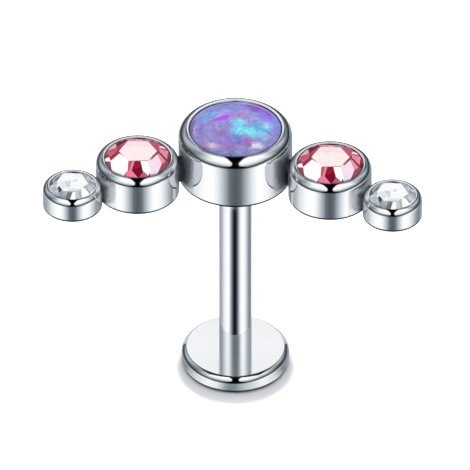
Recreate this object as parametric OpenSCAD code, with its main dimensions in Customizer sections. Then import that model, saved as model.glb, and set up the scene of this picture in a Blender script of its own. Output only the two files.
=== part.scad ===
// Labret stud: a straight post on a flat back disc, under a curved row of five round bezels
// that hold an opal cabochon, two rose-pink and two clear cut stones.
// Millimetres. The origin is the centre of the disc's underside, +Z runs up the post, the row
// runs along X and its ends bend towards -Y.

/* [Post and back disc] */
// Diameter of the post
post_d = 1.2; // [1:0.05:1.6]
// Wearing length, from the top of the disc to the back of the bezels
wearing_len = 8.08; // [6:0.02:12]
// Diameter of the back disc
disc_d = 4; // [3.6:0.05:5]
// Thickness of the back disc
disc_t = 0.72; // [0.6:0.02:1.2]
// Radius of the disc's two rounded edges
disc_round = 0.21; // [0.1:0.01:0.28]

/* [Bezels] */
// Outer diameter of the middle bezel
middle_d = 4.19; // [3.9:0.01:4.6]
// Height of the middle bezel
middle_h = 2.06; // [1.8:0.02:2.4]
// Outer diameter of the two wing bezels
wing_d = 3.06; // [2.9:0.01:3.4]
// Height of the wing bezels
wing_h = 1.46; // [1.3:0.02:1.7]
// Outer diameter of the two tip bezels
tip_d = 2.18; // [2.14:0.01:2.5]
// Height of the tip bezels
tip_h = 0.87; // [0.8:0.01:1.2]

/* [Row] */
// Angle by which the row bends back from X between the middle and a wing
wing_heading = 18.2; // [0:0.1:35]
// Angle by which it bends between a wing and a tip
tip_heading = 23.9; // [0:0.1:45]
// Gap between the walls of the middle and a wing, bridged by a neck
wing_gap = 0.09; // [0.02:0.01:0.2]
// Depth by which the walls of a wing and a tip run into each other
tip_overlap = 0.07; // [0.03:0.01:0.08]

/* [Stones] */
// Diameter of the opal at its edge
opal_d = 3.54; // [3.2:0.02:3.6]
// Height of the opal's dome above its edge
opal_dome = 0.52; // [0.3:0.02:0.9]
// Thickness of the opal below its dome
opal_base = 0.9; // [0.5:0.05:1]
// Diameter of the pink stones at the girdle
pink_d = 2.72; // [2.5:0.02:2.74]
// Diameter of the clear stones at the girdle
clear_d = 1.94; // [1.8:0.02:1.95]
// Corner to corner width of the pink stones' six-sided table
pink_table = 1.4; // [1.1:0.02:1.6]
// Corner to corner width of the clear stones' six-sided table
clear_table = 1.18; // [0.9:0.02:1.3]

/* [Hidden] */
$fn = 96;

STEEL = [0.78, 0.80, 0.82];
OPAL = [0.58, 0.50, 0.82];
PINK = [0.90, 0.35, 0.48];
CLEAR = [0.92, 0.94, 0.96];

post_r = post_d / 2;
disc_r = disc_d / 2;
seam = 0.02;                            // between the post's end face and the bezels' back
back_z = disc_t + wearing_len;          // the flat plane of the bezels' backs
fit = 0.02;                             // between a stone and its bezel, and round the pin

pin_r = 0.42;                           // plain pin under the middle bezel
pin_len = 2.2;
bore_r = pin_r + fit;
bore_len = pin_len + 0.2;

// Inner edge of each rim, over its stone
lip_bevel = 0.03;                       // width and height of the bright bevel
lip_t = 0.02;                           // thickness below the bevel
under_lip = lip_bevel + lip_t + fit;    // from the rim's top down to the stone

// Cut of the faceted stones
main_count = 6;
break_count = 12;
crown_angle = 29;                       // main facets, up from the girdle plane
break_angle = 38;                       // small facets along the girdle
main_lift = 0.8;                        // 1 brings each main facet to a point at the girdle
pavilion_angle = 38;
girdle_t = 0.05;

// Height of a stone above its edge at radius r: a cut stone's highest line, and the opal's dome
function crown_rise(stone_r, r) = (stone_r - r * cos(180 / break_count)) * tan(break_angle);
function ball_radius(r, dome) = (r * r + dome * dome) / (2 * dome);
function dome_rise(stone_r, r) =
    let (ball = ball_radius(stone_r, opal_dome)) sqrt(ball * ball - r * r) - ball + opal_dome;

// Row of sizes for a bezel, with these columns: outer radius, height, height of the rounded rim,
// radius of the opening over the stone, radius of the stone, how far the stone rises at its own
// edge and at the opening, depth of the pocket
OUTER = 0;
HIGH = 1;
ROUND = 2;
OPENING = 3;
STONE = 4;
SHOULDER = 5;
RISE = 6;
POCKET = 7;
function cut_row(outer, high, round, lap, stone, pocket) =
    [outer, high, round, stone - lap, stone,
     crown_rise(stone, stone), crown_rise(stone, stone - lap), pocket];
opal_lap = 0.06;                        // width by which each rim covers its stone
middle = [middle_d / 2, middle_h, 0.38, opal_d / 2 - opal_lap, opal_d / 2,
          0, dome_rise(opal_d / 2, opal_d / 2 - opal_lap), 1.03];
wing = cut_row(wing_d / 2, wing_h, 0.27, 0.07, pink_d / 2, 1.22);
tip = cut_row(tip_d / 2, tip_h, 0.2, 0.04, clear_d / 2, 0.7);
function edge_z(b) = b[HIGH] - under_lip - b[RISE];     // height of the stone's edge

// Places of the wings and tips on the +X side, mirrored for the other side
wing_step = middle[OUTER] + wing[OUTER] + wing_gap;
tip_step = wing[OUTER] + tip[OUTER] - tip_overlap;
wing_at = [wing_step * cos(wing_heading), -wing_step * sin(wing_heading)];
tip_at = wing_at + [tip_step * cos(tip_heading), -tip_step * sin(tip_heading)];

// Neck between the middle and a wing
neck_w = 0.7;
neck_h = 1;
neck_z = 0.12;
neck_sink = 0.1;

// Outline of a disc with two rounded edges, from the axis to its rim
module disc_outline() {
    square([disc_r - disc_round, disc_t]);
    translate([0, disc_round]) square([disc_r, disc_t - 2 * disc_round]);
    for (z = [disc_round, disc_t - disc_round])
        translate([disc_r - disc_round, z]) circle(disc_round);
}

// Back disc and post, turned in one piece, with the blind bore for the pin
module labret_post() {
    color(STEEL)
    difference() {
        union() {
            rotate_extrude() disc_outline();
            translate([0, 0, disc_t / 2]) cylinder(r = post_r, h = back_z - seam - disc_t / 2);
        }
        translate([0, 0, back_z - seam - bore_len]) cylinder(r = bore_r, h = bore_len + 1);
    }
}

// Radius of the rim's arc: it leaves the wall upright and ends at the inner bevel
function rim_arc(b) =
    let (w = b[OUTER] - b[OPENING] - lip_bevel, h = b[ROUND]) (w * w + h * h) / (2 * w);

// Outer body of a bezel: a straight wall that ends in a rounded rim
module bezel_body(b) {
    arc = rim_arc(b);
    rotate_extrude() {
        square([b[OUTER], b[HIGH] - b[ROUND]]);
        square([b[OPENING] + lip_bevel, b[HIGH]]);
        intersection() {
            translate([b[OUTER] - arc, b[HIGH] - b[ROUND]]) circle(arc);
            translate([b[OPENING], b[HIGH] / 2]) square([b[OUTER], b[HIGH] / 2]);
        }
    }
}

// Space inside a bezel: the pocket, the slope under the rim's lip, and the bevelled opening
module bezel_pocket(b) {
    pocket_r = b[STONE] + fit;
    top = b[HIGH];
    rotate_extrude() polygon([
        [0, top - b[POCKET]],
        [pocket_r, top - b[POCKET]],
        [pocket_r, edge_z(b) + b[SHOULDER] + fit],
        [b[OPENING], top - lip_bevel - lip_t],
        [b[OPENING], top - lip_bevel],
        [b[OPENING] + lip_bevel, top],
        [b[OPENING] + lip_bevel, top + 1],
        [0, top + 1]
    ]);
}

// Small soldered neck from the middle bezel's wall into a wing's wall
module neck() {
    rotate([0, 0, -wing_heading])
    translate([middle[OUTER] - neck_sink, -neck_w / 2, neck_z])
    cube([wing_gap + 2 * neck_sink, neck_w, neck_h]);
}

// Puts one copy at each wing or each tip
module both_sides(at) {
    for (side = [-1, 1]) translate([side * at.x, at.y, 0]) children();
}

// Five bezels, their necks and the pin, soldered into one piece
module bezel_cluster() {
    color(STEEL)
    union() {
        translate([0, 0, back_z]) difference() {
            union() {
                bezel_body(middle);
                both_sides(wing_at) bezel_body(wing);
                both_sides(tip_at) bezel_body(tip);
                neck();
                mirror([1, 0, 0]) neck();
            }
            bezel_pocket(middle);
            both_sides(wing_at) bezel_pocket(wing);
            both_sides(tip_at) bezel_pocket(tip);
        }
        translate([0, 0, back_z - pin_len]) cylinder(r = pin_r, h = pin_len + 0.2);
    }
}

// Cabochon: a straight edge below and a spherical dome above it
module opal() {
    r = middle[STONE];
    ball = ball_radius(r, opal_dome);
    color(OPAL)
    translate([0, 0, back_z + edge_z(middle)])
    intersection() {
        translate([0, 0, -opal_base]) cylinder(r = r, h = opal_base + opal_dome + 1);
        translate([0, 0, opal_dome - ball]) sphere(ball);
    }
}

// Pyramid whose sides slope at the angle and stand at radius r from the axis at height z
module pyramid(sides, angle, r, z) {
    translate([0, 0, z - r * tan(angle)])
    cylinder(r1 = 2 * r / cos(180 / sides), r2 = 0, h = 2 * r * tan(angle), $fn = sides);
}

// Round stone with a six-sided table, six main facets that narrow to the girdle, twelve small
// facets between them, a round girdle and six facets below that end in a flat
module cut_stone(b, table) {
    r = b[STONE];
    main_z = main_lift * b[SHOULDER];
    table_z = main_z + (r - table / 2 * cos(180 / main_count)) * tan(crown_angle);
    low = b[POCKET] - (b[HIGH] - edge_z(b)) - fit;
    intersection() {
        translate([0, 0, -low]) cylinder(r = r, h = low + table_z);
        pyramid(main_count, crown_angle, r, main_z);
        pyramid(break_count, break_angle, r, 0);
        mirror([0, 0, 1]) pyramid(main_count, pavilion_angle, r, girdle_t);
    }
}

module pink_stone(side) {
    color(PINK)
    translate([side * wing_at.x, wing_at.y, back_z + edge_z(wing)]) cut_stone(wing, pink_table);
}

module clear_stone(side) {
    color(CLEAR)
    translate([side * tip_at.x, tip_at.y, back_z + edge_z(tip)]) cut_stone(tip, clear_table);
}

module pink_stone_left() { pink_stone(-1); }
module pink_stone_right() { pink_stone(1); }
module clear_stone_left() { clear_stone(-1); }
module clear_stone_right() { clear_stone(1); }

labret_post();
bezel_cluster();
opal();
pink_stone_left();
pink_stone_right();
clear_stone_left();
clear_stone_right();
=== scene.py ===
import math

import bmesh
import bpy
from mathutils import Matrix, Vector


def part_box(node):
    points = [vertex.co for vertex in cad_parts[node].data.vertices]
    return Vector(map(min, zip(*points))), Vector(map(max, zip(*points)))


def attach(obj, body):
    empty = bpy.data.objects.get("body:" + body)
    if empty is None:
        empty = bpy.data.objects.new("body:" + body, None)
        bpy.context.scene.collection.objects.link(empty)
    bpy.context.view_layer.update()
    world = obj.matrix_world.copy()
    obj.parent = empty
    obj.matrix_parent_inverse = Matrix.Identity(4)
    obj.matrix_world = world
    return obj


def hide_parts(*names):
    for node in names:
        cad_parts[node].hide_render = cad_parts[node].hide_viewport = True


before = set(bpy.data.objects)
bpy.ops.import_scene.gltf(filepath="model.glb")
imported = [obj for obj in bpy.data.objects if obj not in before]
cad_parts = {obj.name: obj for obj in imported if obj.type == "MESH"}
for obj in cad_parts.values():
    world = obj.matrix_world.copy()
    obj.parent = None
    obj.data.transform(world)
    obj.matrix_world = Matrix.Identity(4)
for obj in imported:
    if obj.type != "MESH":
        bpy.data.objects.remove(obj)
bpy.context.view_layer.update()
mm = 0.001

# Camera: at the photograph's own angle, far off with a long lens, so that the near and the far
# end of the row keep their true proportions.
view_elevation = math.radians(37.6)
view_turn = math.radians(2.9)
view_distance = 450 * mm
image_pixels = 470
pixels_per_metre = 27100
aim = Vector((-0.015, 0, 5.918)) * mm

towards_camera = Vector((
    math.sin(view_turn) * math.cos(view_elevation),
    -math.cos(view_turn) * math.cos(view_elevation),
    math.sin(view_elevation),
))
camera = bpy.data.objects.new("camera", bpy.data.cameras.new("camera"))
camera.location = aim + towards_camera * view_distance
camera.rotation_euler = towards_camera.to_track_quat("Z", "Y").to_euler()
camera.data.lens = camera.data.sensor_width * pixels_per_metre * view_distance / image_pixels
camera.data.clip_start = 1 * mm
bpy.context.scene.collection.objects.link(camera)
bpy.context.scene.camera = camera
bpy.context.scene.view_settings.view_transform = "Standard"

# Floor: a plain white studio table that the stud stands on. It is matt, and mirrors show the
# softboxes and the room in its place.
floor_reach = 1500 * mm
floor_sides = 64
floor_white = (0.9, 0.9, 0.9, 1)


def feed(tree, socket, value):
    """Links an input to the output of another node, or sets it to a plain value."""
    if isinstance(value, bpy.types.NodeSocket):
        tree.links.new(value, socket)
    else:
        socket.default_value = value


def add_node(tree, kind, *values, **named):
    """Adds a node and feeds its inputs, the first ones in their order and others by name."""
    made = tree.nodes.new(kind)
    for socket, value in zip(made.inputs, values):
        feed(tree, socket, value)
    for name, value in named.items():
        feed(tree, made.inputs[name.replace("_", " ")], value)
    return made


def new_material(name):
    """Makes a material without nodes and gives back the material and its tree."""
    material = bpy.data.materials.new(name)
    material.use_nodes = True
    material.node_tree.nodes.clear()
    return material, material.node_tree


def new_piece(name, made, material):
    """Turns a finished bmesh into an object at the origin with its material."""
    mesh = bpy.data.meshes.new(name)
    made.to_mesh(mesh)
    made.free()
    mesh.materials.append(material)
    piece = bpy.data.objects.new(name, mesh)
    bpy.context.scene.collection.objects.link(piece)
    return piece


floor_material, tree = new_material("floor_white")
floor_matt = add_node(tree, "ShaderNodeBsdfDiffuse", floor_white)
add_node(tree, "ShaderNodeOutputMaterial", floor_matt.outputs[0])

plate = bmesh.new()
bmesh.ops.create_circle(plate, cap_ends=True, segments=floor_sides, radius=floor_reach)
floor = new_piece("floor", plate, floor_material)
floor.visible_glossy = False

# Studio light: two softboxes left and right of the camera that meet overhead beside a narrow dark
# slot, a grey wall and a bright screen behind, and the table's glow under a dark horizon. Only
# mirrors see it, dimmer from one mirror to the next. Matt surfaces get a plain white room.
tint_dark = (0.80, 0.96, 1.12)
white = (1, 1, 1, 1)
room_white = (0.97, 0.98, 1.03, 1)
third_image = (0.13, 0.15, 0.17, 1)
screen_tone = 243
mirrored_strength = 1.12
room_strength = 1.15


def add_math(tree, operation, *values):
    """Adds a Math node and gives back its result."""
    made = add_node(tree, "ShaderNodeMath", *values)
    made.operation = operation
    return made.outputs[0]


def add_mix(tree, blend, share, first, second):
    """Mixes two colours by a share of the second and gives back the colour."""
    made = add_node(tree, "ShaderNodeMixRGB", share, first, second)
    made.blend_type = blend
    return made.outputs[0]


def multiply(tree, first, second):
    """Multiplies two colours."""
    return add_mix(tree, "MULTIPLY", 1.0, first, second)


def add_ramp(tree, source, stops, ease="LINEAR"):
    """Adds a Color Ramp with (place, colour) stops, where a colour is a grey or three numbers."""
    made = add_node(tree, "ShaderNodeValToRGB", source)
    made.color_ramp.interpolation = ease
    elements = made.color_ramp.elements
    while len(elements) < len(stops):
        elements.new(1.0)
    for element, (place, colour) in zip(elements, stops):
        element.position = place
        parts = (colour,) * 3 if isinstance(colour, (int, float)) else colour[:3]
        element.color = (*parts, 1)
    return made.outputs["Color"]


def grey(value):
    """Linear grey of a display value from 0 to 255."""
    return (value / 255) ** 2.2


def tone(value):
    """Studio grey of a display value: the darker, the cooler."""
    level = grey(value)
    cool = 1 - level
    return tuple(level * (1 + (part - 1) * cool) for part in tint_dark)


def half_turns(degrees):
    """Degrees in half turns, as the world's shares of elevation count them."""
    return degrees / 180


def by_azimuth(stops, convert=tone):
    """Ramp stops from (degrees, value), 0 towards the camera and positive to its right."""
    return [(degrees / 360 + 0.5, convert(value)) for degrees, value in stops]


def by_side(stops):
    """Ramp stops from (degrees away from the camera to either side, share)."""
    return [(half_turns(degrees), share) for degrees, share in stops]


def by_elevation(stops):
    """Ramp stops from (degrees, share), -90 straight down and 90 straight up."""
    return [(half_turns(degrees) + 0.5, share) for degrees, share in stops]


def turned_parts(tree, vector, turn):
    """X, Y and Z of a vector after the turn is taken out, so that -Y points at the camera."""
    turned = add_node(tree, "ShaderNodeMapping", vector, Rotation=(0, 0, -turn))
    return add_node(tree, "ShaderNodeSeparateXYZ", turned.outputs[0]).outputs


def azimuth_share_of(tree, parts):
    """Azimuth in shares of a full turn, 0.5 towards the camera and more to its right."""
    around = add_math(tree, "ARCTAN2", parts["X"], add_math(tree, "MULTIPLY", parts["Y"], -1.0))
    return add_math(tree, "MULTIPLY_ADD", around, 0.5 / math.pi, 0.5)


world = bpy.data.worlds.new("studio")
bpy.context.scene.world = world
world.use_nodes = True
tree = world.node_tree
tree.nodes.clear()

# Where a mirrored ray goes. The horizon stands higher on the right.
parts = turned_parts(tree, add_node(tree, "ShaderNodeTexCoord").outputs["Generated"], view_turn)
azimuth_share = azimuth_share_of(tree, parts)
aside = add_math(tree, "ABSOLUTE", add_math(tree, "MULTIPLY_ADD", azimuth_share, 2.0, -1.0))
elevation = add_math(tree, "ARCSINE", parts["Z"])
elevation_share = add_math(tree, "MULTIPLY_ADD", elevation, 1 / math.pi, 0.5)
lift = add_ramp(tree, azimuth_share, by_azimuth([(25, 0), (60, 12), (140, 12), (165, 0)], half_turns))
over_horizon = add_math(tree, "SUBTRACT", elevation_share, lift)

# The softboxes in front, which fade towards the horizon, with the dark slot between them
sideways = add_math(tree, "ABSOLUTE", parts["X"])
slot = add_ramp(tree, elevation_share, by_elevation([
    (0, 0.37), (7, 0.31), (13, 0.17), (20, 0.105), (30, 0.085), (50, 0.08), (65, 0.11), (90, 0.12),
]), ease="EASE")
beside_slot = add_ramp(tree, add_math(tree, "SUBTRACT", sideways, slot), [(0, 0.0), (0.05, 1.0)], ease="EASE")
low_front = add_ramp(tree, over_horizon, by_elevation([
    (2, 0.08), (6, 0.14), (10, 0.3), (18, 0.54), (28, 0.76), (38, 0.9), (47, 1.0)]))
in_front = multiply(tree, beside_slot, low_front)

# The wall behind, which dims towards its middle
low_behind = add_ramp(tree, over_horizon, by_elevation([(6, 0.22), (24, 1.0), (52, 1.0), (62, 0.3)]))
dim_middle = add_ramp(tree, aside, by_side([(128, 1.0), (148, 0.36), (160, 0.06)]))
dim_from = add_ramp(tree, elevation_share, by_elevation([(22, 0.0), (30, 1.0)]))
at_back = multiply(tree, low_behind, add_mix(tree, "MIX", dim_from, white, dim_middle))
behind = add_ramp(tree, aside, by_side([(95, 0.0), (125, 1.0)]), ease="EASE")
low = add_mix(tree, "MIX", behind, in_front, at_back)

# Overhead, where the softboxes meet and fade out past the zenith
past_zenith = add_ramp(tree, parts["Y"], [(0.03, 1.0), (0.13, 0.77), (0.25, 0.44), (0.43, 0.1), (0.55, 0.03)])
overhead = add_ramp(tree, elevation_share, by_elevation([(50, 0.0), (62, 1.0)]), ease="EASE")
boxes = add_mix(tree, "MIX", overhead, low, multiply(tree, beside_slot, past_zenith))
spread = add_ramp(tree, azimuth_share, by_azimuth([
    (-180, 150), (-153, 160), (-131, 185), (-115, 180), (-105, 160), (-95, 142), (-86, 148), (-72, 205),
    (-65, 216), (-58, 248), (74, 255), (84, 215), (95, 178), (105, 172), (115, 185), (131, 195), (153, 160),
    (180, 150)], grey))
even_above = add_ramp(tree, elevation_share, by_elevation([(46, 0.0), (68, 1.0)]), ease="EASE")
boxes = multiply(tree, boxes, add_mix(tree, "MIX", even_above, spread, white))

# The bright screen straight behind
screen_wide = add_ramp(tree, aside, by_side([(168, 0.0), (172, 1.0)]), ease="EASE")
screen_high = add_ramp(tree, elevation_share, by_elevation([
    (31, 0.0), (34, grey(screen_tone)), (40, grey(screen_tone)), (42, 0.0)]), ease="EASE")
upper = add_mix(tree, "LIGHTEN", 1.0, boxes, multiply(tree, screen_wide, screen_high))
upper_tinted = multiply(tree, upper, add_ramp(tree, upper, [(0, tint_dark), (1, 1.0)]))

# The table's glow below the horizon
table_glow = add_ramp(tree, azimuth_share, by_azimuth([
    (-180, 150), (-160, 160), (-125, 160), (-105, 190), (-90, 225), (-70, 246), (-48, 254),
    (-36, 232), (-24, 185), (-11, 110), (0, 90), (11, 110), (24, 185), (36, 232), (48, 254),
    (70, 240), (90, 195), (105, 148), (125, 128), (150, 165), (180, 150),
]))
below_dark = add_ramp(tree, over_horizon, by_elevation([(-17, 1.0), (-9, 0.09), (0, 0.09)]))
above = add_ramp(tree, over_horizon, by_elevation([(-2, 0.0), (2, 1.0)]))
first_image = add_mix(tree, "MIX", above, multiply(tree, table_glow, below_dark), upper_tinted)

# What a mirror shows of the studio in another mirror
again_above = add_ramp(tree, azimuth_share, by_azimuth([
    (-180, 175), (-160, 165), (-140, 130), (-108, 155), (-86, 200), (-68, 232), (-55, 240), (-44, 222),
    (-29, 165), (-22, 128), (-14, 106), (0, 97), (14, 108), (22, 128), (29, 165), (44, 235), (52, 246),
    (68, 238), (86, 190), (108, 155), (140, 140), (160, 170), (180, 175),
]))
again_below = add_ramp(tree, azimuth_share, by_azimuth([
    (-180, 90), (-130, 105), (-95, 165), (-60, 205), (60, 205), (95, 165), (130, 105), (180, 90)]))
second_image = add_mix(tree, "MIX", above, multiply(tree, below_dark, again_below), again_above)

ray = add_node(tree, "ShaderNodeLightPath").outputs
twice = add_math(tree, "GREATER_THAN", ray["Glossy Depth"], 1.5)
thrice = add_math(tree, "GREATER_THAN", ray["Glossy Depth"], 2.5)
seen = add_mix(tree, "MIX", twice, first_image, second_image)
seen = add_mix(tree, "MULTIPLY", thrice, seen, third_image)
mirrored = add_node(tree, "ShaderNodeBackground", seen, mirrored_strength)
plain = add_node(tree, "ShaderNodeBackground", room_white, room_strength)
unmirrored = add_math(tree, "MAXIMUM", ray["Is Camera Ray"], ray["Is Diffuse Ray"])
light = add_node(tree, "ShaderNodeMixShader", unmirrored, mirrored.outputs[0], plain.outputs[0])
add_node(tree, "ShaderNodeOutputWorld", light.outputs[0])

# Lamp and shade: a broad lamp behind and above throws the short shadow in front. A thin plate
# that only the lamp sees, a little wider than the disc, makes the shadow one even crescent.
lamp_elevation = math.radians(50)
lamp_width = math.radians(29)
lamp_strength = 3.0
shade_r = 2.2 * mm
shade_z = 0.54 * mm
shade_sides = 96
shade_black = (0.02, 0.02, 0.02, 1)


def hide_from(piece, *ray_kinds):
    """Hides a piece of the stage from these kinds of rays."""
    for ray_kind in ray_kinds:
        setattr(piece, f"visible_{ray_kind}", False)


lamp = bpy.data.objects.new("lamp_behind", bpy.data.lights.new("lamp_behind", "SUN"))
lamp.data.energy = lamp_strength
lamp.data.angle = lamp_width
towards_lamp = Vector((
    -math.sin(view_turn) * math.cos(lamp_elevation),
    math.cos(view_turn) * math.cos(lamp_elevation),
    math.sin(lamp_elevation),
))
lamp.rotation_euler = towards_lamp.to_track_quat("Z", "Y").to_euler()
lamp.visible_glossy = False
bpy.context.scene.collection.objects.link(lamp)

shade_material, tree = new_material("shade_black")
shade_matt = add_node(tree, "ShaderNodeBsdfDiffuse", shade_black)
add_node(tree, "ShaderNodeOutputMaterial", shade_matt.outputs[0])
plate = bmesh.new()
bmesh.ops.create_circle(plate, cap_ends=True, segments=shade_sides, radius=shade_r)
bmesh.ops.translate(plate, verts=plate.verts[:], vec=(0, 0, shade_z))
shade = new_piece("shade", plate, shade_material)
hide_from(shade, "camera", "diffuse", "glossy", "transmission", "volume_scatter")
blockers = bpy.data.collections.new("lamp_blockers")
blockers.objects.link(shade)
lamp.light_linking.blocker_collection = blockers

# Cards: four, seen by mirrors alone and each only from its own range. A narrow one on the table
# in front makes the post's dark stripe, a ring shades the disc's wall, a roof level with the
# bezels' backs draws the dark line along the disc's upper edge, and a fence behind lightens it.
front_azimuth = -math.pi / 2
rear_azimuth = math.pi / 2
card_near = 2.13 * mm
card_steps = 36
narrow_turn = math.radians(-4)
narrow_half = math.radians(46)
narrow_far = 10.5 * mm
narrow_z = 0.01 * mm
narrow_range = 13 * mm
ring_half = math.radians(150)
ring_far = 2.9 * mm
ring_z = 0.014 * mm
ring_range = 1.2 * mm
roof_size = (15 * mm, 10.6 * mm, 1)
roof_middle = Vector((0, 0.7, 8.77)) * mm
roof_range = 6.5 * mm
fence_half = math.radians(60)
fence_r = 3.2 * mm
fence_foot = 0.02 * mm
fence_top = 1.6 * mm
fence_range = 1.95 * mm
fence_steps = 24


def rgb(red, green, blue):
    """Linear colour of three display values from 0 to 255."""
    return (grey(red), grey(green), grey(blue), 1)


def only_in_mirrors(card):
    """Hides a card from all but glossy rays."""
    hide_from(card, "camera", "diffuse", "shadow", "transmission")


def bend_card(name, edge, middle, half_width, steps, material):
    """Sweeps an edge, two points of (radius, height), round the post to both sides of a middle."""
    card = bmesh.new()
    card.edges.new([card.verts.new((radius, 0, height)) for radius, height in edge])
    bmesh.ops.rotate(card, verts=card.verts[:], cent=(0, 0, 0),
                     matrix=Matrix.Rotation(view_turn + middle - half_width, 3, "Z"))
    bmesh.ops.spin(card, geom=card.verts[:] + card.edges[:], cent=(0, 0, 0), axis=(0, 0, 1),
                   angle=2 * half_width, steps=steps)
    only_in_mirrors(new_piece(name, card, material))


def own_place(tree):
    """Where a point of the piece lies."""
    return add_node(tree, "ShaderNodeTexCoord").outputs["Object"]


def mirror_within(tree, reach):
    """Gives 1 where the mirror that shows the card is nearer to it than the reach."""
    return add_math(tree, "LESS_THAN", add_node(tree, "ShaderNodeLightPath").outputs["Ray Length"], reach)


def paint_card(tree, colour, cover):
    """Lets a card glow in a colour where cover is 1 and leaves it clear where cover is 0."""
    clear = add_node(tree, "ShaderNodeBsdfTransparent")
    glow = add_node(tree, "ShaderNodeEmission", colour)
    mix = add_node(tree, "ShaderNodeMixShader", cover, clear.outputs[0], glow.outputs[0])
    add_node(tree, "ShaderNodeOutputMaterial", mix.outputs[0])


card_material, tree = new_material("card_narrow")
narrow_share = azimuth_share_of(tree, turned_parts(tree, own_place(tree), view_turn + narrow_turn))
narrow_cover = add_ramp(tree, narrow_share, by_azimuth([
    (-42, 0.0), (-28, 0.45), (-15, 0.72), (-6, 1.0), (5, 1.0), (17, 0.45), (32, 0.0)], float))
first_mirror = add_math(tree, "LESS_THAN", add_node(tree, "ShaderNodeLightPath").outputs["Glossy Depth"], 1.5)
from_post = add_math(tree, "MULTIPLY", first_mirror, mirror_within(tree, narrow_range))
paint_card(tree, rgb(26, 35, 44), add_math(tree, "MULTIPLY", narrow_cover, from_post))
bend_card("card_narrow", ((card_near, narrow_z), (narrow_far, narrow_z)), narrow_turn + front_azimuth,
          narrow_half, card_steps, card_material)

card_material, tree = new_material("card_ring")
ring_share = azimuth_share_of(tree, turned_parts(tree, own_place(tree), view_turn))
ring_tone = add_ramp(tree, ring_share, by_azimuth([
    (-140, 150), (-100, 165), (-78, 141), (-54, 224), (-36, 254), (-24, 239), (-12, 159), (-6, 136), (0, 145),
    (12, 200), (36, 251), (54, 227), (72, 139), (96, 174), (140, 160)]))
paint_card(tree, ring_tone, mirror_within(tree, ring_range))
bend_card("card_ring", ((card_near, ring_z), (ring_far, ring_z)), front_azimuth,
          ring_half, card_steps, card_material)

card_material, tree = new_material("card_roof")
paint_card(tree, rgb(48, 56, 64), add_math(tree, "SUBTRACT", 1.0, mirror_within(tree, roof_range)))
roof = bmesh.new()
bmesh.ops.create_grid(roof, x_segments=1, y_segments=1, size=0.5)
bmesh.ops.scale(roof, verts=roof.verts[:], vec=roof_size)
bmesh.ops.translate(roof, verts=roof.verts[:], vec=roof_middle)
only_in_mirrors(new_piece("card_roof", roof, card_material))

card_material, tree = new_material("card_fence")
paint_card(tree, rgb(204, 207, 210), mirror_within(tree, fence_range))
bend_card("card_fence", ((fence_r, fence_foot), (fence_r, fence_top)), rear_azimuth,
          fence_half, fence_steps, card_material)

# Back disc and post: one piece of surgical steel, turned on a lathe and polished to a mirror.
# The disc's upper edge rolls over in two arcs, given as (radius, degrees from, degrees to), its
# flat top keeps fine turning rings, and the post stands on it with a sharp corner.
turns = 192
touch = 0.001 * mm
weld = 0.00001 * mm
disc_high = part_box("labret_post")[1]
disc_r = disc_high.x
post_top = disc_high.z
disc_t = 0.72 * mm
disc_round = 0.18 * mm
disc_round_steps = 10
rim_arcs = ((0.317 * mm, 12, 60), (0.075 * mm, 60, 90))
rim_steps = 10
holding = 0.02 * mm
post_r = 0.6 * mm
bore_r = 0.44 * mm
bore_len = 2.4 * mm
sharp_angle = math.radians(40)
heated_above = 8.5 * mm
soldered_joints = (Vector((2.033, -0.668, 0)) * mm, Vector((4.896, -1.766, 0)) * mm)
steel_colour = (0.93, 0.935, 0.94, 1)
# Colour the steel shows to light that bounces off it: painted shade that deepens the table's contact shadow
steel_dark_for_painted_contact_shade = (0.12, 0.12, 0.13, 1)
bright_cut_colour = (0.78, 0.79, 0.81, 1)
turned_colour = (0.97, 0.972, 0.975, 1)
# Dark scale of the solder, also used as painted shade on the lowest band of the feet
scale_and_shade_dark = rgb(36, 50, 60)
scale_and_shade_light = rgb(80, 96, 106)


def add_chain(made, start, points):
    """Goes on from a vertex with a chain of edges in the XZ plane."""
    for x, z in points:
        end = made.verts.new((x, 0, z))
        made.edges.new((start, end))
        start = end


def turn_on_lathe(made, steps):
    """Spins the chain round the Z axis, closes it on the axis and points its faces outwards."""
    bmesh.ops.spin(made, geom=made.verts[:] + made.edges[:], cent=(0, 0, 0), axis=(0, 0, 1),
                   angle=2 * math.pi, steps=steps, use_merge=True)
    bmesh.ops.remove_doubles(made, verts=made.verts[:], dist=weld)
    bmesh.ops.recalc_face_normals(made, faces=made.faces[:])


def round_foot(made, outer, radius, segments):
    """Rounds the lowest outer ring of a turned piece that stands at height 0."""
    edges = [edge for edge in made.edges if all(
        abs(vert.co.xy.length - outer) < touch and abs(vert.co.z) < touch for vert in edge.verts)]
    bmesh.ops.bevel(made, geom=edges, offset=radius, offset_type="OFFSET", affect="EDGES",
                    segments=segments, profile=0.5, material=-1)


def shade_smooth(piece):
    """Shades a piece smoothly, apart from its sharp edges."""
    for face in piece.data.polygons:
        face.use_smooth = True
    piece.data.set_sharp_from_angle(angle=sharp_angle)


def new_group(name, inputs, outputs):
    """Makes a node group and gives back the group, its inputs and its output node."""
    group = bpy.data.node_groups.new(name, "ShaderNodeTree")
    for way, sockets in (("INPUT", inputs), ("OUTPUT", outputs)):
        for socket, kind in sockets.items():
            group.interface.new_socket(socket, in_out=way, socket_type=f"NodeSocket{kind}")
    return group, group.nodes.new("NodeGroupInput").outputs, group.nodes.new("NodeGroupOutput")


def add_group(tree, group):
    """Places a node group in a material."""
    placed = tree.nodes.new("ShaderNodeGroup")
    placed.node_tree = group
    return placed


def add_vector(tree, operation, *values):
    """Adds a Vector Math node and gives back its result, a number for a length or distance."""
    made = add_node(tree, "ShaderNodeVectorMath", *values)
    made.operation = operation
    return made.outputs["Value" if operation in ("LENGTH", "DISTANCE") else "Vector"]


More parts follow.
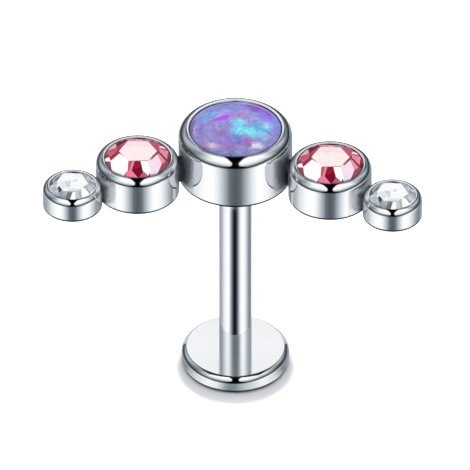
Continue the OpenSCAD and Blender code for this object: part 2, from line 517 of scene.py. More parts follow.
def folded_place(tree):
    """Where a point lies in plan, with the left half folded over the right."""
    parts = add_node(tree, "ShaderNodeSeparateXYZ", own_place(tree)).outputs
    folded = add_node(tree, "ShaderNodeCombineXYZ", add_math(tree, "ABSOLUTE", parts["X"]), parts["Y"])
    return folded.outputs[0]


# Fine marks of polishing, and the haze that the torch leaves on the walls near soldered joints
polish, _, polish_out = new_group("polish_marks", {}, {"Roughness": "Float", "Normal": "Vector"})
place = own_place(polish)
along = add_node(polish, "ShaderNodeMapping", place, Scale=(900, 900, 26000))
marks = add_node(polish, "ShaderNodeTexNoise", along.outputs[0], Scale=1.0, Detail=4.0, Roughness=0.6)
marks_bump = add_node(polish, "ShaderNodeBump", Height=marks.outputs[0], Strength=0.012, Distance=0.01 * mm)
haze = add_node(polish, "ShaderNodeTexNoise", place, Scale=900.0, Detail=3.0, Roughness=0.55)
wear = add_ramp(polish, haze.outputs[0], [(0.35, 0.03), (0.7, 0.075)])
folded = folded_place(polish)
heat = 0.0
for joint in soldered_joints:
    away = add_math(polish, "DIVIDE", add_vector(polish, "DISTANCE", folded, joint), mm)
    near_joint = add_ramp(polish, away, [(0.4, 0.34), (1.1, 0.27), (1.45, 0.15), (1.9, 0.0)])
    heat = add_math(polish, "MAXIMUM", heat, near_joint)
height = add_node(polish, "ShaderNodeSeparateXYZ", place).outputs["Z"]
heat = add_math(polish, "MULTIPLY", heat, add_math(polish, "GREATER_THAN", height, heated_above))
own_normal = add_node(polish, "ShaderNodeTexCoord").outputs["Normal"]
facing_up = add_math(polish, "ABSOLUTE", add_node(polish, "ShaderNodeSeparateXYZ", own_normal).outputs["Z"])
heat = add_math(polish, "MULTIPLY", heat, add_ramp(polish, facing_up, [(0.08, 1.0), (0.35, 0.0)]))
feed(polish, polish_out.inputs["Roughness"], add_math(polish, "ADD", wear, heat))
feed(polish, polish_out.inputs["Normal"], marks_bump.outputs[0])

steel, tree = new_material("polished_steel")
polished = add_group(tree, polish)
# Painted shade: to light that bounces off it onto matt surfaces the steel turns nearly black, so the table's
# contact shadow round the disc is darker.
bounce_ray = add_node(tree, "ShaderNodeLightPath").outputs["Is Diffuse Ray"]
steel_shader = add_node(
    tree, "ShaderNodeBsdfPrincipled", Base_Color=add_mix(tree, "MIX", bounce_ray, steel_colour, steel_dark_for_painted_contact_shade),
    Metallic=1.0, Roughness=polished.outputs["Roughness"], Normal=polished.outputs["Normal"])
add_node(tree, "ShaderNodeOutputMaterial", steel_shader.outputs[0])

bright_cut, tree = new_material("bright_cut_steel")
polished = add_group(tree, polish)
cut_shader = add_node(tree, "ShaderNodeBsdfPrincipled", Base_Color=bright_cut_colour,
                      Metallic=0.2, Roughness=0.35, Normal=polished.outputs["Normal"])
add_node(tree, "ShaderNodeOutputMaterial", cut_shader.outputs[0])

fine_turned, tree = new_material("fine_turned_steel")
rings = add_node(tree, "ShaderNodeTexWave", own_place(tree), Scale=9000.0, Distortion=0.4)
rings.wave_type = "RINGS"
rings.rings_direction = "Z"
rings_bump = add_node(tree, "ShaderNodeBump", Height=rings.outputs[0], Strength=0.02, Distance=0.01 * mm)
turned_shader = add_node(tree, "ShaderNodeBsdfPrincipled", Base_Color=turned_colour,
                         Metallic=0.97, Roughness=0.12, Normal=rings_bump.outputs[0])
add_node(tree, "ShaderNodeOutputMaterial", turned_shader.outputs[0])

# Dark solder scale on the necks; on the disc's lower rounding and the cups' foot bands the same colour is
# painted shade.
solder_and_painted_foot_shade, tree = new_material("solder_and_painted_foot_shade")
scale = add_node(tree, "ShaderNodeTexNoise", own_place(tree), Scale=3000.0, Detail=4.0, Roughness=0.6)
scale_bump = add_node(tree, "ShaderNodeBump", Height=scale.outputs[0], Strength=0.3, Distance=0.02 * mm)
solder_shader = add_node(
    tree, "ShaderNodeBsdfPrincipled", Metallic=1.0, Roughness=0.4, Normal=scale_bump.outputs[0],
    Base_Color=add_ramp(tree, scale.outputs[0], [(0.35, scale_and_shade_dark), (0.65, scale_and_shade_light)]))
add_node(tree, "ShaderNodeOutputMaterial", solder_shader.outputs[0])

post = bmesh.new()
wall = crest = post.verts.new((disc_r, 0, 0))
for arc_r, start, end in rim_arcs:
    to_crest = Vector((math.cos(math.radians(start)), 0, math.sin(math.radians(start)))) * arc_r
    bmesh.ops.spin(post, geom=[crest], cent=crest.co - to_crest, axis=(0, -1, 0),
                   angle=math.radians(end - start), steps=rim_steps)
    crest = max(post.verts, key=lambda vert: vert.co.z)
bmesh.ops.translate(post, verts=post.verts[:], vec=(0, 0, disc_t - crest.co.z))
add_chain(post, crest, [
    (crest.co.x - holding, disc_t), (post_r, disc_t), (post_r, post_top), (bore_r, post_top),
    (bore_r, post_top - bore_len), (0, post_top - bore_len)])
add_chain(post, wall, [
    (disc_r, wall.co.z - holding), (disc_r, disc_round + holding), (disc_r, 0),
    (disc_r - disc_round - holding, 0), (0, 0)])
turn_on_lathe(post, turns)
round_foot(post, disc_r, disc_round, disc_round_steps)
for face in post.faces:
    centre = face.calc_center_median()
    if abs(centre.z - disc_t) < touch:
        face.material_index = 1
    # The disc's lower rounding is coloured dark: painted shade where it meets the table.
    elif centre.z < disc_round and centre.xy.length > disc_r - disc_round:
        face.material_index = 2
post_piece = new_piece("turned_post", post, steel)
post_piece.data.materials.append(fine_turned)
post_piece.data.materials.append(solder_and_painted_foot_shade)
shade_smooth(post_piece)
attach(post_piece, "root")
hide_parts("labret_post")

# Bezels: five round cups of the same steel in a bent row, each with a rounded rim and a bright
# bevel round its stone. The middle one is bridged to its neighbours by small soldered necks and
# has a plain pin that goes down into the post; the outer pairs run into each other.
pin_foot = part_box("bezel_cluster")[0].z
pin_r = 0.42 * mm
pin_root = 0.2 * mm
pin_turns = 64
back_z = 8.80 * mm
foot_round = 0.03 * mm
foot_round_steps = 4
foot_band = 0.085 * mm
cup_rim_steps = 14
# Sizes of the cups in mm
middle = dict(outer=2.095, high=2.08, rise=0.415, crest=1.782, opening=1.725, lip=0.052,
              pocket_r=1.79, pocket=1.05)
wing = dict(outer=1.53, high=1.48, rise=0.318, crest=1.275, opening=1.235, lip=0.045,
            pocket_r=1.38, pocket=1.24)
tip = dict(outer=1.09, high=0.895, rise=0.25, crest=0.888, opening=0.855, lip=0.03,
           pocket_r=0.99, pocket=0.715)
wing_at = Vector((3.529, -1.160, 0)) * mm
tip_at = Vector((5.860, -2.193, 0)) * mm
neck_size = Vector((0.29, 0.34, 1.0)) * mm
neck_middle = Vector((2.140, 0, 0.62)) * mm
neck_turn = math.radians(-18.2)
neck_round = 0.05 * mm
neck_round_steps = 3


def turn_bezel(cup, at):
    """Turns one cup: rounded rim, bevelled opening, pocket, wall and foot, and puts it in place."""
    outer, high, rise, crest_r, opening, lip, pocket_r, pocket = (value * mm for value in cup.values())
    width = outer - crest_r
    arc_r = (width * width + rise * rise) / (2 * width)
    made = bmesh.new()
    wall = made.verts.new((outer, 0, high - rise))
    bmesh.ops.spin(made, geom=[wall], cent=(outer - arc_r, 0, high - rise), axis=(0, -1, 0),
                   angle=math.asin(min(1, rise / arc_r)), steps=cup_rim_steps)
    crest = max(made.verts, key=lambda vert: vert.co.z)
    add_chain(made, crest, [
        (opening, high - lip), (pocket_r, high - 3 * lip), (pocket_r, high - pocket), (0, high - pocket)])
    add_chain(made, wall, [
        (outer, high - rise - holding), (outer, foot_band), (outer, 0),
        (outer - foot_round - holding, 0), (0, 0)])
    turn_on_lathe(made, turns)
    round_foot(made, outer, foot_round, foot_round_steps)
    for face in made.faces:
        centre = face.calc_center_median()
        if centre.z > high - lip and opening < centre.xy.length < crest_r:
            face.material_index = 1
        # The lowest band of each cup's wall and foot is coloured dark: painted shade along the bottom edge.
        elif centre.z < foot_band and centre.xy.length > outer - foot_round:
            face.material_index = 2
    bmesh.ops.translate(made, verts=made.verts[:], vec=at + Vector((0, 0, back_z)))
    return made


def new_neck(side):
    """Makes the small block of solder between the middle cup and a wing."""
    made = bmesh.new()
    bmesh.ops.create_cube(made, size=1)
    bmesh.ops.scale(made, verts=made.verts[:], vec=neck_size)
    bmesh.ops.bevel(made, geom=made.edges[:], offset=neck_round, offset_type="OFFSET", affect="EDGES",
                    segments=neck_round_steps, profile=0.5, material=-1)
    bmesh.ops.translate(made, verts=made.verts[:], vec=neck_middle + Vector((0, 0, back_z)))
    bmesh.ops.rotate(made, verts=made.verts[:], cent=(0, 0, 0), matrix=Matrix.Rotation(neck_turn, 3, "Z"))
    bmesh.ops.scale(made, verts=made.verts[:], vec=(side, 1, 1))
    bmesh.ops.recalc_face_normals(made, faces=made.faces[:])
    for face in made.faces:
        face.material_index = 2
    return made


def solder(piece, others):
    """Joins the other solids to the piece and leaves one clean mesh."""
    for other in others:
        joint = piece.modifiers.new("solder", "BOOLEAN")
        joint.operation = "UNION"
        joint.solver = "EXACT"
        joint.object = other
    whole = piece.evaluated_get(bpy.context.evaluated_depsgraph_get())
    rough = piece.data
    piece.data = bpy.data.meshes.new_from_object(whole)
    piece.modifiers.clear()
    bpy.data.meshes.remove(rough)
    for other in others:
        spare = other.data
        bpy.data.objects.remove(other)
        bpy.data.meshes.remove(spare)


pin = bmesh.new()
add_chain(pin, pin.verts.new((0, 0, pin_foot)), [
    (pin_r, pin_foot), (pin_r, back_z + pin_root), (0, back_z + pin_root)])
turn_on_lathe(pin, pin_turns)
solids = [pin]
for side in (-1, 1):
    solids.append(turn_bezel(wing, Vector((side, 1, 1)) * wing_at))
    solids.append(turn_bezel(tip, Vector((side, 1, 1)) * tip_at))
    solids.append(new_neck(side))
row = new_piece("soldered_row", turn_bezel(middle, Vector((0, 0, 0))), steel)
others = [new_piece("solid", made, steel) for made in solids]
for cup in (row, *others):
    cup.data.materials.append(bright_cut)
    cup.data.materials.append(solder_and_painted_foot_shade)
solder(row, others)
shade_smooth(row)
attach(row, "root")
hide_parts("bezel_cluster")

# Opal: a polished cabochon with a straight edge and a low dome. Its lavender body is clouded
# with patches of blue, cyan, magenta and violet under a clear gloss; three pale patches are painted
# highlights and a dark one at the back is a painted shadow of the rim. A patch is given by its
# centre and half sizes in mm, its turn in degrees, its colour and its strength.
opal_low, opal_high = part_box("opal")
opal_r = opal_high.x
opal_dome = 0.52 * mm
opal_ball = (opal_r ** 2 + opal_dome ** 2) / (2 * opal_dome)
opal_steps = 32
# How brightly the studio lights the opal, which is taken out of its tint
opal_light = 1.45
body_tint = (0.84 / opal_light, 0.96 / opal_light, 0.87 / opal_light, 1)
body_tones = [(0.34, rgb(136, 132, 210)), (0.5, rgb(160, 146, 214)), (0.66, rgb(178, 150, 210))]
patch_spread = 1.35
patch_strength = 0.9
push = 0.5 * mm
patches = [
    ((0.0, 1.1), (1.5, 0.8), 0, (134, 132, 212), 0.8),
    ((-0.99, 0.38), (0.42, 0.36), 0, (108, 160, 214), 0.9),
    ((-1.34, 0.16), (0.45, 0.3), 0, (112, 138, 210), 0.8),
    ((-0.93, -0.12), (0.5, 0.2), 12, (158, 112, 204), 0.6),
    ((-0.46, 0.1), (0.4, 0.19), 16, (186, 70, 240), 1.0),
    ((-0.16, 0.22), (0.26, 0.16), 20, (176, 110, 226), 0.6),
    ((0.2, 0.42), (0.36, 0.3), 0, (178, 128, 198), 0.8),
    ((0.71, 1.0), (0.55, 0.42), -20, (146, 82, 186), 0.9),
    ((1.16, 0.60), (0.4, 0.42), -30, (156, 92, 232), 0.9),
    ((0.84, 0.42), (0.34, 0.2), 0, (112, 138, 206), 0.8),
    ((1.47, 0.42), (0.2, 0.5), 10, (130, 150, 240), 0.7),
    ((1.35, -0.32), (0.3, 0.3), 0, (140, 100, 196), 0.8),
    ((-0.62, -0.72), (0.6, 0.34), 0, (142, 112, 180), 0.8),
    ((-0.9, -0.76), (0.25, 0.15), 20, (150, 154, 222), 0.7),
    ((-0.2, -1.18), (0.42, 0.26), 0, (172, 108, 188), 0.9),
    ((0.5, -1.1), (0.4, 0.24), 0, (164, 92, 180), 0.9),
    ((0.06, -0.96), (0.34, 0.34), 0, (122, 130, 214), 0.9),
    ((0.9, -0.28), (0.5, 0.3), 10, (88, 178, 226), 0.9),
    ((0.13, -0.18), (0.32, 0.26), 0, (112, 216, 246), 1.0),
    ((0.28, -0.6), (0.5, 0.24), 4, (122, 228, 248), 1.0),
    ((0.68, -0.64), (0.26, 0.3), 0, (128, 226, 240), 1.0),
    ((1.16, -0.06), (0.2, 0.26), 0, (156, 228, 252), 0.9),
    ((1.02, -0.62), (0.26, 0.22), 0, (134, 190, 242), 0.8),
    ((-1.0, -1.08), (0.26, 0.16), -20, (212, 130, 184), 0.8),
    # Painted highlights: pale glints on the dome near the front, left and right
    ((-0.74, -1.2), (0.26, 0.14), -20, (246, 214, 242), 1.0),
    ((0.86, -1.14), (0.34, 0.13), 26, (248, 240, 252), 1.0),
    ((0.2, -1.52), (0.18, 0.1), 0, (156, 206, 252), 0.9),
    # A painted highlight: a thin pale glint near the left edge
    ((-1.44, -0.42), (0.05, 0.3), 6, (232, 206, 252), 0.8),
    ((-1.64, 0.0), (0.14, 0.6), 6, (142, 82, 160), 0.8),
    # Painted shadow of the rim over the back of the dome
    ((-0.5, 1.56), (0.62, 0.34), 14, (80, 92, 148), 1.0),
    ((-1.3, -0.35), (0.4, 0.4), 0, (140, 118, 190), 0.6),
    ((1.36, -0.1), (0.16, 0.4), 0, (150, 176, 246), 0.6),
]

patch_group, given, patch_out = new_group("soft_patch", {
    "Place": "Vector", "Centre": "Vector", "Half size": "Vector", "Turn": "Float"}, {"Cover": "Float"})
moved = add_vector(patch_group, "SUBTRACT", given["Place"], given["Centre"])
spun = add_node(patch_group, "ShaderNodeVectorRotate", moved, Angle=given["Turn"])
spun.rotation_type = "Z_AXIS"
sized = add_vector(patch_group, "DIVIDE", spun.outputs[0], given["Half size"])
reach = add_vector(patch_group, "LENGTH", add_vector(patch_group, "MULTIPLY", sized, (1, 1, 0)))
feed(patch_group, patch_out.inputs["Cover"],
     add_ramp(patch_group, reach, [(0.15, 1.0), (1.0, 0.0)], ease="EASE"))

opal_material, tree = new_material("lavender_opal")
place = own_place(tree)
warp = add_node(tree, "ShaderNodeTexNoise", place, Scale=1900.0, Detail=4.0, Roughness=0.65)
pushed = add_vector(tree, "MULTIPLY_ADD", warp.outputs["Color"], (push, push, 0), (-push / 2, -push / 2, 0))
warped = add_vector(tree, "ADD", place, pushed)
mottle = add_node(tree, "ShaderNodeTexNoise", warped, Scale=2300.0, Detail=5.0, Roughness=0.6)
colour = add_ramp(tree, mottle.outputs[0], body_tones)
for (x, y), (wide, deep), turn, shade, strength in patches:
    patch = add_group(tree, patch_group)
    feed(tree, patch.inputs["Place"], warped)
    feed(tree, patch.inputs["Centre"], (x * mm, y * mm, 0))
    feed(tree, patch.inputs["Half size"], (wide * patch_spread * mm, deep * patch_spread * mm, 1))
    feed(tree, patch.inputs["Turn"], math.radians(-turn))
    cover = add_math(tree, "MULTIPLY", patch.outputs["Cover"], patch_strength * strength)
    colour = add_mix(tree, "MIX", cover, colour, rgb(*shade))
flecks = add_node(tree, "ShaderNodeTexVoronoi", warped, Scale=9000.0)
colour = multiply(tree, colour, add_ramp(tree, flecks.outputs["Color"], [(0.2, 0.86), (0.8, 1.12)]))
veins = add_node(tree, "ShaderNodeTexNoise", warped, Scale=5200.0, Detail=3.0, Distortion=1.0)
colour = multiply(tree, colour, add_ramp(tree, veins.outputs[0], [(0.38, 0.9), (0.5, 1.0), (0.62, 1.1)]))
colour = multiply(tree, colour, body_tint)
from_axis = add_vector(tree, "LENGTH", add_vector(tree, "MULTIPLY", place, (1, 1, 0)))
# Painted shade of the rim: the opal's colour darkens towards the edge of the dome
painted_rim_shade = add_ramp(tree, add_math(tree, "DIVIDE", from_axis, opal_r), [
    (0.7, 1.0), (0.9, 0.84), (0.925, 0.76), (0.948, 0.25), (1.0, 0.2)])
opal_shader = add_node(
    tree, "ShaderNodeBsdfPrincipled", Base_Color=multiply(tree, colour, painted_rim_shade), Roughness=0.5,
    Coat_Weight=1.0, Coat_Roughness=0.03, Coat_IOR=1.45, Specular_IOR_Level=0.0)
add_node(tree, "ShaderNodeOutputMaterial", opal_shader.outputs[0])

dome = bmesh.new()
apex = dome.verts.new((0, 0, opal_high.z))
bmesh.ops.spin(dome, geom=[apex], cent=(0, 0, opal_high.z - opal_ball), axis=(0, 1, 0),
               angle=math.asin(opal_r / opal_ball), steps=opal_steps)
edge = max(dome.verts, key=lambda vert: vert.co.x)
add_chain(dome, edge, [(opal_r, opal_low.z), (0, opal_low.z)])
turn_on_lathe(dome, turns)
opal = new_piece("opal_cabochon", dome, opal_material)
shade_smooth(opal)
opal.visible_glossy = False
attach(opal, "root")
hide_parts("opal")

# Pink stones: rose crystals with a six-sided table, six main facets and twelve small ones, foiled
# behind. Each face of the crown breaks into painted reflections, the bright and dark images of the
# facets below; the white images are painted highlights. An image is given by its colour and its
# outline, in radii of the stone.
main_slope = math.tan(math.radians(29))
break_slope = math.tan(math.radians(38))
pavilion_slope = math.tan(math.radians(38))
main_count = 6
break_count = 12
pavilion_count = 6
main_lift = 0.8
girdle = 0.05 * mm
rod_sides = 96
split_slack = 0.0001 * mm
looks_up = 0.1
# How the stones' colour is split between a lit body and a painted glow of their own
crystal_body = 0.4
crystal_glow = 0.6
rim_shade_width = 0.03
pink_table = 1.4 * mm
pink_r = 1.36 * mm
pink_open = 0.88
pink_light = 1.55
pink_mottling = 0.04
pink_painted_images = {
    "white": rgb(268, 268, 268), "petal": rgb(247, 227, 228), "veil": rgb(240, 217, 219),
    "blush": rgb(248, 226, 238), "candy": rgb(236, 140, 165), "pink": rgb(244, 130, 168),
    "salmon": rgb(246, 142, 162), "coral": rgb(212, 92, 110), "rose": rgb(196, 92, 116),
    "mauve": rgb(150, 70, 88), "crimson": rgb(160, 34, 58), "wine": rgb(130, 40, 62),
    "garnet": rgb(124, 26, 46), "ash": rgb(206, 190, 188),
}
pink_outlines = [
    ("rose", [(-0.3, 0.45), (-0.07, 0.43), (-0.1, 1), (-0.36, 1)]),
    ("candy", [(-0.07, 0.43), (0.11, 0.44), (0.09, 1), (-0.1, 1)]),
    ("wine", [(0.11, 0.44), (0.27, 0.46), (0.31, 1), (0.09, 1)]),
    ("wine", [(-0.09, 0.8), (0.33, 0.62), (0.29, 1.1), (-0.1, 1.1)]),
    ("rose", [(0.53, 0.05), (0.59, 0.45), (0.57, 0.62), (0.35, 0.67), (0.26, 0.52)]),
    ("garnet", [(0.34, 0.59), (0.49, 0.63), (0.7, 1.1), (0.19, 1.1)]),
    ("garnet", [(0.49, 0.63), (0.68, 0.55), (0.85, 0.39), (0.95, 0.48), (0.7, 1.1)]),
    ("blush", [(0.57, 0.33), (0.75, 0.43), (0.71, 0.51), (0.57, 0.49)]),
    ("rose", [(0.73, 0.42), (0.83, 0.34), (0.87, 0.46), (0.71, 0.51)]),
    ("salmon", [(0.6, 0.02), (0.8, -0.11), (0.82, 0.35), (0.56, 0.28)]),
    ("garnet", [(0.8, -0.11), (0.8, -0.25), (0.88, -0.28), (1.0, 0.08), (0.96, 0.52), (0.81, 0.32)]),
    ("garnet", [(0.59, -0.03), (0.78, -0.21), (0.8, -0.11), (0.6, 0.04)]),
    ("garnet", [(0.59, -0.03), (0.6, 0.04), (0.56, 0.16)]),
    ("candy", [(0.68, -0.33), (0.77, -0.18), (0.58, -0.02), (0.54, -0.09)]),
    ("mauve", [(0.53, -0.85), (0.77, -0.6), (0.97, -0.15), (0.78, -0.19), (0.67, -0.32)]),
    ("blush", [(0.39, -0.92), (0.54, -0.83), (0.67, -0.32), (0.56, -0.11), (0.53, -0.06), (0.29, -0.42)]),
    ("mauve", [(0.39, -0.33), (0.55, -0.05), (0.53, -0.02), (0.37, -0.32)]),
    ("white", [(0.19, -0.7), (0.34, -0.8), (0.39, -0.71), (0.29, -0.42), (0.1, -0.44)]),
    ("garnet", [(-0.12, -0.68), (0.07, -0.88), (0.19, -0.71), (0.1, -0.42), (-0.05, -0.43)]),
    ("crimson", [(-0.09, -0.65), (-0.04, -0.65), (0.1, -0.59), (0.08, -0.44), (-0.03, -0.45)]),
    ("pink", [(-0.28, -1), (0.06, -1), (0.07, -0.88), (-0.12, -0.69), (-0.25, -0.72)]),
    ("rose", [(0.07, -0.88), (0.06, -1), (0.42, -0.93), (0.34, -0.8), (0.19, -0.71)]),
    ("garnet", [(0.37, -0.92), (0.44, -0.9), (0.37, -0.72), (0.33, -0.8)]),
    ("candy", [(-0.23, -0.73), (-0.12, -0.69), (-0.05, -0.44), (-0.12, -0.45)]),
    ("rose", [(-0.23, -0.72), (-0.18, -0.69), (-0.12, -0.45), (-0.23, -0.44)]),
    ("white", [(-0.65, -0.72), (-0.38, -0.92), (-0.23, -0.71), (-0.22, -0.43), (-0.49, -0.1),
               (-0.71, -0.26)]),
    ("rose", [(-0.28, -1), (-0.25, -0.71), (-0.4, -0.92)]),
    ("mauve", [(-0.78, -0.56), (-0.64, -0.72), (-0.71, -0.29), (-0.9, -0.17)]),
    ("white", [(-0.89, -0.18), (-0.7, -0.28), (-0.76, -0.1), (-0.92, -0.08)]),
    ("wine", [(-0.76, -0.12), (-0.84, 0.18), (-0.94, 0.19), (-0.94, -0.05)]),
    ("coral", [(-0.75, -0.12), (-0.57, -0.02), (-0.52, 0.17), (-0.61, 0.28), (-0.85, 0.18)]),
    ("crimson", [(-0.57, -0.02), (-0.76, -0.12), (-0.71, -0.26), (-0.48, -0.11)]),
    ("crimson", [(-0.57, -0.02), (-0.48, -0.11), (-0.52, 0.17)]),
    ("ash", [(-0.6, 0.26), (-0.59, 0.43), (-0.7, 0.74), (-0.84, 0.3)]),
    ("wine", [(-0.59, 0.43), (-0.51, 0.15), (-0.32, 0.47), (-0.36, 1), (-0.68, 0.65)]),
    ("rose", [(-0.3, 0.45), (-0.34, 0.51), (-0.52, 0.33), (-0.51, 0.15)]),
    ("petal", [(-0.5, -0.03), (-0.23, -0.44), (0.31, -0.39), (0.53, 0.04), (0.26, 0.47), (-0.3, 0.45)]),
    ("veil", [(-0.4, 0.19), (0.42, 0.21), (0.26, 0.47), (-0.3, 0.45)]),
]


def grind(made, point, normal):
    """Grinds off what lies beyond a plane and closes the solid with a flat facet."""
    split = bmesh.ops.bisect_plane(made, geom=made.verts[:] + made.edges[:] + made.faces[:], dist=weld,
                                   plane_co=point, plane_no=normal, clear_outer=True)
    rim = [item for item in split["geom_cut"] if isinstance(item, bmesh.types.BMEdge)]
    if rim:
        bmesh.ops.contextual_create(made, geom=rim)


def cut_stone(node, table_width):
    """Grinds a round rod in its node's place to a crown and a foot, and gives back the stone, its
    centre and its radius."""
    low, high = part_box(node)
    centre = Vector(((low.x + high.x) / 2, (low.y + high.y) / 2, 0))
    radius = (high.x - low.x) / 2
    depth = high.z - low.z
    shoulder = radius * (1 - math.cos(math.pi / break_count)) * break_slope * main_lift
    table_rise = shoulder + (radius - table_width / 2 * math.cos(math.pi / main_count)) * main_slope
    girdle_z = high.z - table_rise
    made = bmesh.new()
    bmesh.ops.create_cone(made, cap_ends=True, segments=rod_sides, radius1=radius, radius2=radius,
                          depth=depth)
    bmesh.ops.translate(made, verts=made.verts[:], vec=centre + Vector((0, 0, (low.z + high.z) / 2)))
    for count, slope, lift, up in ((main_count, main_slope, shoulder, 1), (break_count, break_slope, 0, 1),
                                   (pavilion_count, pavilion_slope, -girdle, -1)):
        for index in range(count):
            angle = 2 * math.pi * (index + 0.5) / count
            outwards = Vector((math.cos(angle), math.sin(angle), 0))
            point = centre + outwards * radius + Vector((0, 0, girdle_z + lift))
            grind(made, point, outwards * slope + Vector((0, 0, up)))
    bmesh.ops.recalc_face_normals(made, faces=made.faces[:])
    return made, centre, radius


def break_up(made, centre, radius, images, outlines, base):
    """Splits the crown along each outline and stores the colour of its image on the faces inside."""
    layer = made.faces.layers.float_color.new("facet")
    for face in made.faces:
        face[layer] = images[base]
    for shade, outline in outlines:
        corners = [centre + Vector((x, y, 0)) * radius for x, y in outline]
        low = [min(corner[axis] for corner in corners) for axis in (0, 1)]
        high = [max(corner[axis] for corner in corners) for axis in (0, 1)]
        inside = [face for face in made.faces if face.normal.z > looks_up and all(
            min(vert.co[axis] for vert in face.verts) < high[axis]
            and max(vert.co[axis] for vert in face.verts) > low[axis] for axis in (0, 1))]
        for start, end in zip(corners, corners[1:] + corners[:1]):
            outwards = (end - start).cross(Vector((0, 0, 1))).normalized()
            near = {item for face in inside for item in (face, *face.edges, *face.verts)}
            split = bmesh.ops.bisect_plane(made, geom=list(near), dist=split_slack,
                                           plane_co=start, plane_no=outwards)
            inside = [item for item in split["geom"] if isinstance(item, bmesh.types.BMFace)
                      and (item.calc_center_median() - start).dot(outwards) < 0]
        for face in inside:
            face[layer] = images[shade]


def crystal_material(name, centre, radius, open_share, light, mottling):
    """Clear gloss over the painted images of the foiled facets, with fine mottling inside, painted shade
    of the bezel beyond the share of the radius that its opening shows, and a painted glow of the images."""
    material, tree = new_material(name)
    away = add_vector(tree, "DISTANCE", folded_place(tree), centre)
    # Painted shade of the bezel over the outermost part of the crown
    rim_shade = add_ramp(tree, add_math(tree, "DIVIDE", away, radius), [
        (open_share - rim_shade_width, 1.0), (open_share, 0.3), (1.0, 0.2)])
    facet = add_node(tree, "ShaderNodeAttribute")
    facet.attribute_name = "facet"
    mottle = add_node(tree, "ShaderNodeTexNoise", own_place(tree), Scale=6500.0, Detail=3.0, Roughness=0.6)
    tones = add_ramp(tree, mottle.outputs[0], [(0.35, 1 - mottling), (0.65, 1 + mottling)])
    colour = multiply(tree, multiply(tree, facet.outputs["Color"], tones), rim_shade)
    share = crystal_body / light
    body = multiply(tree, colour, (share, share, share, 1))
    shader = add_node(tree, "ShaderNodeBsdfPrincipled", Base_Color=body, Roughness=0.4,
                      Coat_Weight=1.0, Coat_Roughness=0.01, Coat_IOR=1.5, Specular_IOR_Level=0.0,
                      Emission_Color=colour, Emission_Strength=crystal_glow)
    add_node(tree, "ShaderNodeOutputMaterial", shader.outputs[0])
    return material


pink_material = crystal_material("pink_crystal", wing_at, pink_r, pink_open, pink_light, pink_mottling)
for side in ("left", "right"):
    node = f"pink_stone_{side}"
    made, centre, radius = cut_stone(node, pink_table)
    break_up(made, centre, radius, pink_painted_images, pink_outlines, "mauve")
    stone = new_piece(f"pink_crystal_{side}", made, pink_material)
    stone.visible_glossy = False
    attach(stone, "root")
    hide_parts(node)
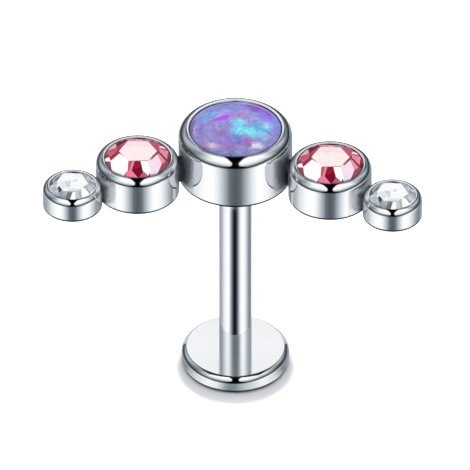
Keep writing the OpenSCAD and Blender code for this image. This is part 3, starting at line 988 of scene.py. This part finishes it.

# Clear stones: the same cut, smaller and without colour, with painted reflections that show only
# white, silver and the dark of the cup round them.
clear_table = 1.18 * mm
clear_r = 0.97 * mm
clear_open = 0.865
clear_light = 1.5
clear_mottling = 0.08
clear_painted_images = {
    "white": rgb(268, 268, 268), "milk": rgb(240, 242, 243), "frost": rgb(214, 218, 221),
    "pearl": rgb(200, 205, 209), "silver": rgb(174, 181, 187), "steel": rgb(148, 158, 164),
    "slate": rgb(112, 122, 130), "night": rgb(56, 70, 80),
}
clear_outlines = [
    ("steel", [(-0.89, -0.09), (-0.64, -0.1), (-0.72, 0.88), (-0.95, 0.35), (-0.98, -0.03)]),
    ("slate", [(-0.67, 0.1), (-0.55, 0.05), (-0.45, 0.31), (-0.51, 0.49), (-0.69, 0.33)]),
    ("silver", [(-0.71, 0.33), (-0.52, 0.48), (-0.52, 0.6), (-0.69, 0.74), (-0.79, 0.47)]),
    ("night", [(-0.9, -0.06), (-0.75, -0.07), (-0.73, -0.01), (-0.8, 0.27), (-0.93, 0.33)]),
    ("silver", [(-0.64, -0.12), (-0.57, -0.05), (-0.59, -0.03), (-0.73, -0.01), (-0.75, -0.07)]),
    ("pearl", [(-0.78, -0.56), (-0.62, -0.74), (-0.51, -0.66), (-0.51, -0.29), (-0.64, -0.1),
               (-0.97, -0.07)]),
    ("silver", [(-0.7, -0.44), (-0.55, -0.41), (-0.59, -0.19), (-0.8, -0.23)]),
    ("white", [(-0.72, -0.6), (-0.67, -0.56), (-0.85, -0.17), (-0.97, -0.1)]),
    ("silver", [(-0.6, -0.74), (-0.51, -0.7), (-0.52, -0.52), (-0.7, -0.44)]),
    ("night", [(-0.51, -0.46), (-0.45, -0.59), (-0.36, -0.47), (-0.45, -0.28), (-0.54, -0.27)]),
    ("white", [(-0.57, -0.26), (-0.52, -0.29), (-0.51, -0.19), (-0.58, -0.12)]),
    ("steel", [(-0.47, -0.85), (-0.15, -0.93), (-0.3, -0.57), (-0.36, -0.47), (-0.46, -0.59)]),
    ("steel", [(-0.15, -0.93), (0, -0.57), (-0.3, -0.57)]),
    ("silver", [(-0.32, -0.7), (-0.18, -0.71), (-0.16, -0.59), (-0.33, -0.59)]),
    ("slate", [(-0.23, -0.93), (-0.05, -0.95), (0.02, -0.58), (-0.13, -0.59), (-0.18, -0.72)]),
    ("pearl", [(0.16, -0.95), (0.46, -0.88), (0.38, -0.52), (0.13, -0.56)]),
    ("silver", [(0.32, -0.78), (0.39, -0.7), (0.37, -0.54), (0.27, -0.56)]),
    ("white", [(-0.07, -0.96), (0.18, -0.96), (0.14, -0.57), (0.05, -0.58)]),
    ("white", [(0.44, -0.88), (0.64, -0.75), (0.67, -0.48), (0.51, -0.32), (0.35, -0.36)]),
    ("white", [(0.62, -0.75), (0.8, -0.56), (0.87, -0.09), (0.67, -0.48)]),
    ("white", [(0.8, -0.56), (0.98, -0.15), (0.95, 0.21), (0.87, -0.09)]),
    ("silver", [(0.67, -0.48), (0.87, -0.09), (0.59, -0.06), (0.49, -0.31)]),
    ("pearl", [(0.67, -0.39), (0.8, -0.15), (0.62, -0.11), (0.56, -0.28)]),
    ("steel", [(0.67, -0.49), (0.71, -0.41), (0.52, -0.24), (0.49, -0.31)]),
    ("silver", [(0.59, -0.06), (0.9, 0.23), (0.63, 0.89), (0.48, 0.41)]),
    ("pearl", [(0.59, 0.1), (0.64, 0.37), (0.59, 0.61), (0.49, 0.42)]),
    ("steel", [(0.64, -0.03), (0.86, 0.05), (0.91, 0.2), (0.72, 0.24), (0.59, 0.13)]),
    ("white", [(0.78, 0.22), (0.85, 0.27), (0.77, 0.36), (0.68, 0.41)]),
    ("slate", [(0.66, 0.57), (0.86, 0.42), (0.85, 0.6), (0.64, 0.85)]),
    ("night", [(-0.34, 0.44), (-0.13, 0.77), (-0.31, 1.1), (-0.4, 0.63)]),
    ("night", [(-0.34, 0.44), (-0.4, 0.63), (-0.51, 0.55)]),
    ("night", [(-0.06, 0.68), (0.16, 0.55), (0.38, 0.54), (0.39, 0.69), (0.12, 1.1), (-0.15, 1.1)]),
    ("milk", [(-0.59, -0.03), (-0.31, -0.56), (0.2, -0.54), (0.6, -0.07), (0.3, 0.55), (-0.43, 0.6)]),
    ("pearl", [(-0.18, -0.34), (-0.07, -0.31), (-0.06, 0.06), (-0.33, 0.07)]),
    ("pearl", [(0.04, 0), (0.19, 0.11), (0.18, 0.19), (0.01, 0.09)]),
    ("frost", [(-0.16, -0.55), (0.23, -0.54), (0.27, -0.36), (-0.17, -0.38)]),
    ("frost", [(-0.3, -0.46), (-0.21, -0.32), (-0.37, 0.05), (-0.53, -0.03)]),
]

clear_material = crystal_material("clear_crystal", tip_at, clear_r, clear_open, clear_light, clear_mottling)
for side in ("left", "right"):
    node = f"clear_stone_{side}"
    made, centre, radius = cut_stone(node, clear_table)
    break_up(made, centre, radius, clear_painted_images, clear_outlines, "silver")
    stone = new_piece(f"clear_crystal_{side}", made, clear_material)
    stone.visible_glossy = False
    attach(stone, "root")
    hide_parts(node)
